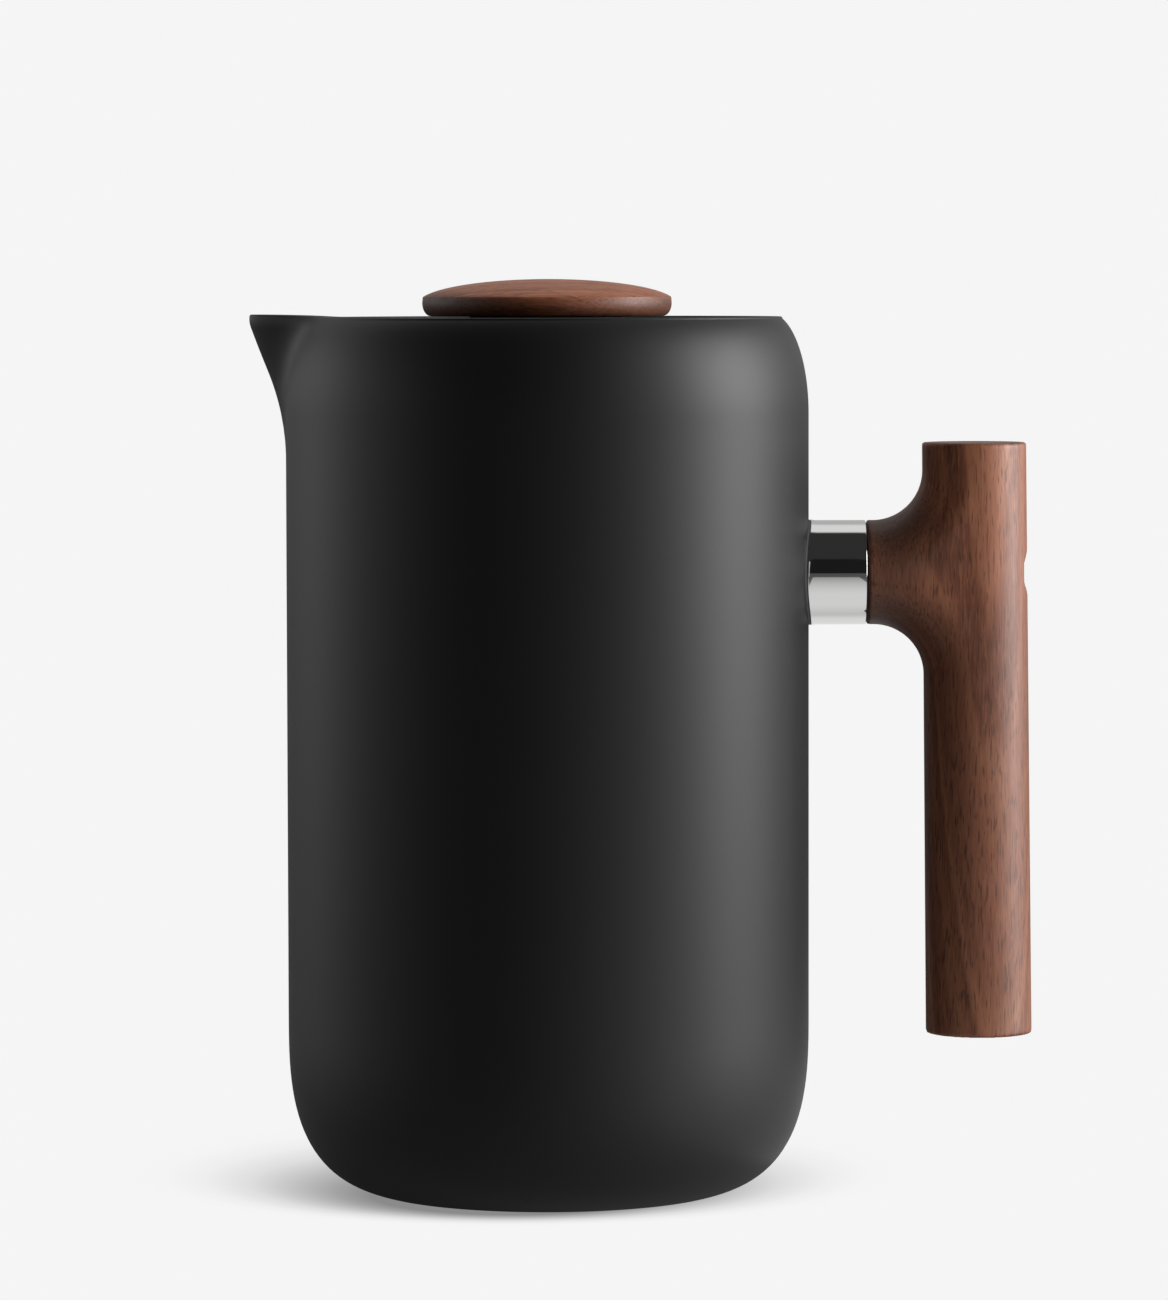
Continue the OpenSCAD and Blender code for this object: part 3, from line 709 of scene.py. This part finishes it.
def surface_net(value, low, high, pitch):
    """Quads over the surface where value(points) is 0, its points moved on to it.
    value takes an array [n, 3] and is negative inside."""
    axes = [np.arange(a, b + pitch, pitch) for a, b in zip(low, high)]
    grid = np.stack(np.meshgrid(*axes, indexing="ij"), axis=-1)
    shape = grid.shape[:3]
    field = value(grid.reshape(-1, 3)).reshape(shape)
    inside = field < 0
    corners = np.array([(i, j, k) for i in (0, 1) for j in (0, 1) for k in (0, 1)])
    count = np.zeros(tuple(n - 1 for n in shape), int)
    for i, j, k in corners:
        count += inside[i:shape[0] - 1 + i, j:shape[1] - 1 + j, k:shape[2] - 1 + k]
    active = (count > 0) & (count < 8)
    index = np.full(active.shape, -1)
    cells = np.argwhere(active)
    index[active] = np.arange(len(cells))
    # Each cell's point is the mean of its edges' crossings
    total, hits = np.zeros((len(cells), 3)), np.zeros(len(cells))
    at = np.array([a[0] for a in axes])
    for a, first in enumerate(corners):
        for second in corners[a + 1:]:
            if np.abs(first - second).sum() != 1:
                continue
            fa = field[tuple((cells + first).T)]
            fb = field[tuple((cells + second).T)]
            crossed = (fa < 0) != (fb < 0)
            share = np.where(crossed, fa / np.where(fa == fb, 1, fa - fb), 0)[:, None]
            point = at + pitch * (cells + first + (second - first) * share)
            total += np.where(crossed[:, None], point, 0)
            hits += crossed
    points = total / hits[:, None]
    for _ in range(4):
        here, step = value(points), 1e-6
        slope = np.stack([(value(points + step * e) - here) / step for e in np.eye(3)], axis=-1)
        size = np.maximum((slope ** 2).sum(-1), 0.05)
        move = -(here / size)[:, None] * slope
        points += np.clip(move, -0.5 * pitch, 0.5 * pitch)
    quads = []
    for axis in range(3):
        u, v = [i for i in range(3) if i != axis]
        step = np.eye(3, dtype=int)
        first = tuple(slice(0, n - (1 if i == axis else 0)) for i, n in enumerate(shape))
        second = tuple(slice(1 if i == axis else 0, n) for i, n in enumerate(shape))
        changes = inside[first] != inside[second]
        edges = np.argwhere(changes)
        edges = edges[(edges[:, u] > 0) & (edges[:, v] > 0)]
        around = [edges - step[u] - step[v], edges - step[v], edges, edges - step[u]]
        last = np.array(index.shape) - 1
        quad = np.stack([index[tuple(np.minimum(cell, last).T)] for cell in around], axis=-1)
        outward = inside[tuple(edges.T)]
        if axis == 1:
            outward = ~outward
        quad = np.where(outward[:, None], quad, quad[:, ::-1])
        quads.append(quad[(quad >= 0).all(1)])
    return points, np.concatenate(quads)


def round_meet(a, b, radius):
    """Intersection of two shapes with a rounded edge."""
    u, v = np.maximum(a + radius, 0), np.maximum(b + radius, 0)
    return np.minimum(np.maximum(a, b), -radius) + np.sqrt(u ** 2 + v ** 2)


def grip_value(points):
    """Distance to the T grip: a round bar that follows a flat web of neck, bar and bends."""
    bend = NECK_R + GRIP_HOLLOW
    bottom, top = grip_low.z, grip_high.z
    z = points[:, 2] - NECK_Z
    x = points[:, 0] - GRIP_X + z * GRIP_LEAN
    y = points[:, 1]
    # Distance in the XZ plane to the web between the two bends, the neck and the bar
    along = np.clip(x, -bend, 0)
    half = bend - np.sqrt(np.maximum(bend ** 2 - (along + bend) ** 2, 0))
    to_bar = np.abs(x)
    to_neck = np.where(x < 0, np.abs(z), np.hypot(x, z))
    to_arc = np.abs(np.hypot(x + bend, np.abs(z) - bend) - bend)
    in_sector = (x > -bend) & (x < 0) & (np.abs(z) < bend)
    inside = in_sector & (np.abs(z) <= half)
    flat = np.minimum(to_bar, to_neck)
    flat = np.where(in_sector, np.minimum(flat, to_arc), flat)
    flat = np.where(inside, 0, flat)
    part = np.clip((points[:, 2] - bottom) / (top - bottom), 0, 1)
    bar_r = GRIP_BOTTOM_R + (GRIP_TOP_R - GRIP_BOTTOM_R) * part
    on_neck = np.clip(-x / bend, 0, 1)
    on_neck = on_neck ** 2 * (3 - 2 * on_neck)
    radius = bar_r + (NECK_R - bar_r) * on_neck
    body = np.hypot(flat, y) - radius
    end_edge, neck_edge, recess_edge = 0.45 * MM, 0.35 * MM, 0.3 * MM
    body = round_meet(body, points[:, 2] - top, end_edge)
    body = round_meet(body, bottom - points[:, 2], end_edge)
    body = round_meet(body, NECK_X - points[:, 0], neck_edge)
    hole = np.hypot(y, points[:, 2] - NECK_Z) - RECESS_R
    drilled = np.maximum(hole, RECESS_FLOOR - points[:, 0])
    return round_meet(body, -drilled, recess_edge)


def wooden_grip():
    """The walnut T: neck, bar and the bends between them, with the bolt's recess."""
    pitch = 0.6 * MM
    margin = 2 * MM
    low = [NECK_X - margin, grip_low.y - margin, grip_low.z - margin]
    high = [grip_high.x + margin, grip_high.y + margin, grip_high.z + margin]
    points, quads = surface_net(grip_value, low, high, pitch)
    mesh = mesh_from("walnut_grip", points, quads.tolist())
    add_object("walnut_grip", mesh, "carafe", ["grip"], WALNUT_BAR)


wooden_grip()


# ---------------------------------------------------------------- ferrule

def polished_ferrule():
    """A tube along +X from just off the carafe's round wall to the wood's gasket. It
    flares slightly at the wall, and its edges are softened."""
    outer, inner, end_x = NECK_R, 6.1 * MM, wood_gasket_low.x
    gap, soft, flare, flare_h = 0.35 * MM, 0.15 * MM, 0.15 * MM, 1.3 * MM
    turn = np.arange(128) / 128 * 2 * math.pi

    def ring(radius, x):
        x = np.broadcast_to(x, turn.shape)
        return np.stack([x, radius * np.sin(turn), NECK_Z + radius * np.cos(turn)], axis=-1)

    def by_wall(radius, off=0.0):
        y = radius * np.sin(turn)
        return ring(radius, np.sqrt((WALL_R + gap + off) ** 2 - y ** 2))

    rows = [by_wall(inner), by_wall(outer + flare - soft), by_wall(outer + flare, soft)]
    for t in np.linspace(0, 1, 6)[1:]:
        rows.append(by_wall(outer + flare * (1 - t) ** 2, soft + flare_h * t))
    start_x = by_wall(outer, soft + flare_h)[:, 0]
    for t in np.linspace(0, 1, 6)[1:]:
        rows.append(ring(outer, start_x * (1 - t) + (end_x - soft) * t))
    for t in np.linspace(0, math.pi / 2, 5)[1:]:
        rows.append(ring(outer - soft * (1 - math.cos(t)), end_x - soft * (1 - math.sin(t))))
    rows.append(ring(inner, end_x))
    mesh = grid_mesh("polished_ferrule", np.stack(rows), closed_rows=True)
    add_object("polished_ferrule", mesh, "carafe", ["ferrule"], POLISHED)


polished_ferrule()


# ---------------------------------------------------------------- lid

def lid_disc():
    """Coated cover: a flat disc with a turned-down, rounded rim."""
    r, top, low = cover_high.x, cover_high.z, cover_low.z
    hole, thick = 7.02 * MM, 1.2 * MM
    outline = [
        (hole, top, 0.1 * MM),
        (hole, top - thick, 0.1 * MM),
        (r - thick, top - thick, 0.3 * MM),
        (r - thick, low, 0.15 * MM),
        (r, low, 0.15 * MM),
        (r, top, 0.7 * MM),
    ]
    mesh = lathe_mesh("lid_disc", rounded(outline), 256)
    add_object("lid_disc", mesh, "lid", ["lid_cover"], BLACK)


lid_disc()


# ---------------------------------------------------------------- knob

def turned_knob():
    """Domed walnut knob with a crisp crease between dome and side."""
    r, low, top = knob_high.x, knob_low.z, knob_high.z
    crease = KNOB_CREASE_Z
    foot_in, crease_in = 1.7 * MM, 0.1 * MM
    widest = crease - 1.2 * MM
    dome_r = r + 0.8 * MM
    dome_end = math.asin((r - crease_in) / dome_r)
    dome_h = (top - crease) / (1 - math.cos(dome_end))
    side_steps, dome_steps = 12, 48
    side = []
    for i in range(side_steps + 1):
        a = math.radians(-90 + 90 * i / side_steps)
        side.append((r - foot_in * (1 - math.cos(a)), widest + (widest - low) * math.sin(a)))
    dome = []
    for i in range(1, dome_steps + 1):
        a = dome_end * (1 - i / dome_steps)
        out = dome_r * math.sin(a) if i < dome_steps else 0.0
        dome.append((out, top - dome_h * (1 - math.cos(a))))
    # Underneath, the groove that the bumper sits in
    groove_z, groove_out = bumper_high.z, bumper_high.x
    groove_in = groove_out - 6 * MM
    under = [(0.0, low), (groove_in, low), (groove_in, groove_z),
             (groove_out, groove_z), (groove_out, low)]
    crisp = corner_arc(side[-1], (r - crease_in, crease), dome[0], 0.25 * MM, 3)
    outline = under + side + [tuple(p) for p in crisp] + dome
    mesh = lathe_mesh("walnut_knob", outline, 224)
    add_object("walnut_knob", mesh, "plunger", ["knob"], WALNUT_KNOB)


turned_knob()


# ---------------------------------------------------------------- filter

def filter_spring():
    """Wire wound round the edge of the filter's top plate."""
    outer, mid_z = coil_high.x, (coil_low.z + coil_high.z) / 2
    wire = 0.35 * MM
    winding = (coil_high.z - coil_low.z) / 2 - wire
    ring = outer - winding - wire
    turns, steps, sides = 118, 14, 6
    n = turns * steps
    t = np.arange(n) / n * 2 * math.pi
    wind = t * turns
    out = np.stack([np.cos(t), np.sin(t), 0 * t], -1)
    up = np.array([0.0, 0.0, 1.0])
    middle = out * (ring + winding * np.cos(wind))[:, None]
    middle = middle + up * (mid_z + winding * np.sin(wind))[:, None]
    ahead = np.roll(middle, -1, 0) - np.roll(middle, 1, 0)
    ahead /= np.linalg.norm(ahead, axis=1)[:, None]
    away = out * np.cos(wind)[:, None] + up * np.sin(wind)[:, None]
    side = np.cross(ahead, away)
    side /= np.linalg.norm(side, axis=1)[:, None]
    away = np.cross(side, ahead)
    rows = []
    for k in range(sides):
        a = 2 * math.pi * k / sides
        rows.append(middle + wire * (away * math.cos(a) + side * math.sin(a)))
    mesh = grid_mesh("filter_spring", np.stack(rows), closed_rows=True)
    add_object("filter_spring", mesh, "plunger", ["filter_coil"], PLAIN)


filter_spring()


# ---------------------------------------------------------------- floor, light and camera

# The pale tone that the camera sees wherever the object and its shadow are not
BACKGROUND = 0.913


def soft_shadow(s):
    """Shade on the floor: circles round the foot, each wider one further to the back, as
    the light comes from the front and from all sides above."""
    start, drift = 0.038, 0.70
    middle_x, middle_y = -0.0070, 0.002
    split = s.node("SeparateXYZ", Vector=s.coords())
    x = s.maths("SUBTRACT", split.outputs["X"], middle_x)
    y = s.maths("SUBTRACT", split.outputs["Y"], middle_y)
    # The circle of radius start + u, moved back by drift * u, that goes through (x, y)
    a = 1 - drift ** 2
    b = s.maths("MULTIPLY_ADD", y, 2 * drift, 2 * start)
    square = s.maths("ADD", s.maths("MULTIPLY", x, x), s.maths("MULTIPLY", y, y))
    c = s.maths("SUBTRACT", square, start ** 2)
    inside = s.maths("ADD", s.maths("MULTIPLY", b, b), s.maths("MULTIPLY", c, 4 * a))
    root = s.maths("SQRT", s.maths("MAXIMUM", inside, 0.0))
    u = s.maths("MULTIPLY", s.maths("SUBTRACT", root, b), 1 / (2 * a))
    # Shade by the circle's radius, in tenths of a metre
    return s.ramp(s.maths("MULTIPLY_ADD", u, 10.0, 10 * start), [
        (0.30, 0.28), (0.38, 0.41), (0.46, 0.58), (0.56, 0.80), (0.66, 0.935), (0.75, 0.99),
        (0.84, 1.0)])


def studio_floor():
    """Pale sweep in the background's own tone. Only the soft shadow under and beside the
    carafe is seen on it, and it throws little light back."""
    angles = np.arange(96) / 96 * 2 * math.pi
    x, y = np.cos(angles), np.sin(angles)
    z = np.full(len(angles), cad_low.z)
    rings = [0.0001, 0.15, 0.4, 1.0, 3.0, 12.0, 40.0]
    rows = [np.stack([r * x, r * y, z], -1) for r in rings]
    mesh = grid_mesh("studio_floor", np.stack(rows))
    floor = bpy.data.objects.new("studio_floor", mesh)
    bpy.context.scene.collection.objects.link(floor)
    s = Shader("studio_floor")
    s.tree.nodes.remove(s.surface)
    shade = soft_shadow(s)
    tone = s.mix(1.0, shade, (BACKGROUND,) * 3, "MULTIPLY")
    seen = s.node("Emission", Color=tone, Strength=1.0)
    # The light it throws back is strongest near the carafe, and more so to the right
    away = s.node("VectorMath", {"operation": "DISTANCE"}, _0=s.coords(),
                  _1=(0.16, -0.12, cad_low.z)).outputs["Value"]
    thrown = s.ramp(away, [(0.06, 0.38), (0.14, 0.34), (0.23, 0.15), (0.70, 0.09)])
    bounce = s.node("Emission", Color=s.mix(1.0, shade, thrown, "MULTIPLY"), Strength=1.0)
    both = s.node("MixShader", _0=s.node("LightPath").outputs["Is Camera Ray"],
                  _1=bounce.outputs[0], _2=seen.outputs[0])
    s.link(both, "Shader", s.output, "Surface")
    mesh.materials.append(s.material)


def studio_world():
    """White behind the object, dark in front of it, as in a product studio. The camera
    sees one even pale tone in every direction."""
    world = bpy.data.worlds.new("studio")
    bpy.context.scene.world = world
    world.use_nodes = True
    tree = world.node_tree
    tree.nodes.clear()
    new, link = tree.nodes.new, tree.links.new
    output = new("ShaderNodeOutputWorld")
    coords = new("ShaderNodeTexCoord")
    split = new("ShaderNodeSeparateXYZ")
    link(coords.outputs["Generated"], split.inputs[0])
    ramp = new("ShaderNodeValToRGB")
    # Brightness by how far the direction points to the back: 0 is towards the camera
    stops = [(0.065, 0.012), (0.085, 0.032), (0.575, 0.032), (0.625, 0.82), (0.80, 0.82),
             (0.88, 0.50)]
    cells = ramp.color_ramp.elements
    while len(cells) < len(stops):
        cells.new(0.5)
    for cell, (place, grey) in zip(cells, stops):
        cell.position = place
        cell.color = (grey, grey, grey, 1)
    shift = new("ShaderNodeMath")
    shift.operation = "MULTIPLY_ADD"
    shift.inputs[1].default_value = 0.5
    shift.inputs[2].default_value = 0.5
    link(split.outputs["Y"], shift.inputs[0])
    link(shift.outputs[0], ramp.inputs["Fac"])
    studio = new("ShaderNodeBackground")
    link(ramp.outputs["Color"], studio.inputs["Color"])
    seen = new("ShaderNodeBackground")
    seen.inputs["Color"].default_value = (BACKGROUND, BACKGROUND, BACKGROUND, 1)
    path = new("ShaderNodeLightPath")
    both = new("ShaderNodeMixShader")
    link(path.outputs["Is Camera Ray"], both.inputs[0])
    link(studio.outputs[0], both.inputs[1])
    link(seen.outputs[0], both.inputs[2])
    link(both.outputs[0], output.inputs["Surface"])


def softbox(name, place, target, size, power, seen_by_gloss, seen_by_matt):
    """A rectangular lamp aimed at target, which the camera never sees."""
    light = bpy.data.lights.new(name, "AREA")
    light.shape = "RECTANGLE"
    light.size, light.size_y = size
    light.energy = power
    lamp = bpy.data.objects.new(name, light)
    lamp.location = place
    aim = (Vector(target) - Vector(place)).to_track_quat("-Z", "Y")
    lamp.rotation_mode = "QUATERNION"
    lamp.rotation_quaternion = aim
    lamp.visible_camera = False
    lamp.visible_glossy = seen_by_gloss
    lamp.visible_diffuse = seen_by_matt
    bpy.context.scene.collection.objects.link(lamp)


def floor_glow_card():
    """A glowing card on the floor under the handle, seen only in reflections, by the polished
    parts most of all. Its glow is painted light that stands in for the lit floor.
    """
    low, high = ferrule_low.x - 1 * MM, ferrule_high.x + 90 * MM
    cols, rows = 5, 7
    points = [(x, y, cad_low.z + 0.2 * MM)
              for y in np.linspace(-0.9, 0.9, rows) for x in np.linspace(low, high, cols)]
    first = [j * cols + i for j in range(rows - 1) for i in range(cols - 1)]
    faces = [(k, k + 1, k + cols + 1, k + cols) for k in first]
    mesh = mesh_from("floor_glow_card", points, faces)
    card = bpy.data.objects.new("floor_glow_card", mesh)
    bpy.context.scene.collection.objects.link(card)
    card.visible_camera = False
    card.visible_diffuse = False
    card.visible_shadow = False
    s = Shader("floor_glow_card")
    s.tree.nodes.remove(s.surface)
    # Painted light: it glows less further out to the front, and a painted shadow darkens it under
    # the handle
    ahead = s.node("SeparateXYZ", Vector=s.coords()).outputs["Y"]
    place = s.node("MapRange", _0=ahead, _1=-0.9, _2=0.1, _3=0.0, _4=1.0).outputs[0]
    tone = s.ramp(place, [(0.0, 0.30), (0.48, 0.50), (0.64, 0.62), (0.77, 0.77), (0.86, 0.78),
                          (0.925, 0.62), (0.97, 0.82)])
    s.link(s.node("Emission", Color=tone, Strength=1.0), "Emission", s.output, "Surface")
    mesh.materials.append(s.material)


def lights():
    """Large soft lamps round the carafe. Some light only the matt surfaces, and the key
    is only mirrored, so that shading and reflections are set apart."""
    centre = (0.0, 0.0, 0.10)
    # name, place, size, power, seen by gloss, seen by matt
    for name, place, size, power, gloss, matt in (
        ("key", (0.97, -0.04, 0.36), (0.56, 0.62), 16.0, True, False),
        ("key_soft", (0.94, -0.235, 0.27), (0.6, 0.5), 7.4, False, True),
        ("fill", (-1.0, -0.25, 0.20), (0.7, 0.7), 1.15, True, True),
        ("back_left", (-1.0, 0.40, 0.12), (0.7, 0.7), 2.2, True, True),
        ("front_right", (0.66, -0.75, 0.22), (0.7, 0.7), 0.7, True, True),
        ("front_soft", (0.75, -0.85, 0.40), (0.7, 0.7), 0.5, False, True),
        ("top", (0.05, 0.0, 1.15), (0.8, 0.8), 1.5, False, True),
    ):
        softbox(name, place, centre, size, power, gloss, matt)


def camera():
    """Long lens, level with the rim and looking slightly down."""
    place = (0.0075, -1.288, 0.188)
    pitch, roll = math.radians(3.335), -0.00215
    cam_data = bpy.data.cameras.new("camera")
    cam_data.lens = 172.2
    cam_data.sensor_width = 36
    cam_data.clip_end = 200
    cam = bpy.data.objects.new("camera", cam_data)
    look = Matrix.Rotation(math.radians(90) - pitch, 4, "X") @ Matrix.Rotation(roll, 4, "Z")
    cam.matrix_world = Matrix.Translation(place) @ look
    bpy.context.scene.collection.objects.link(cam)
    bpy.context.scene.camera = cam


studio_floor()
floor_glow_card()
studio_world()
lights()
camera()
bpy.context.scene.view_settings.view_transform = "Standard"
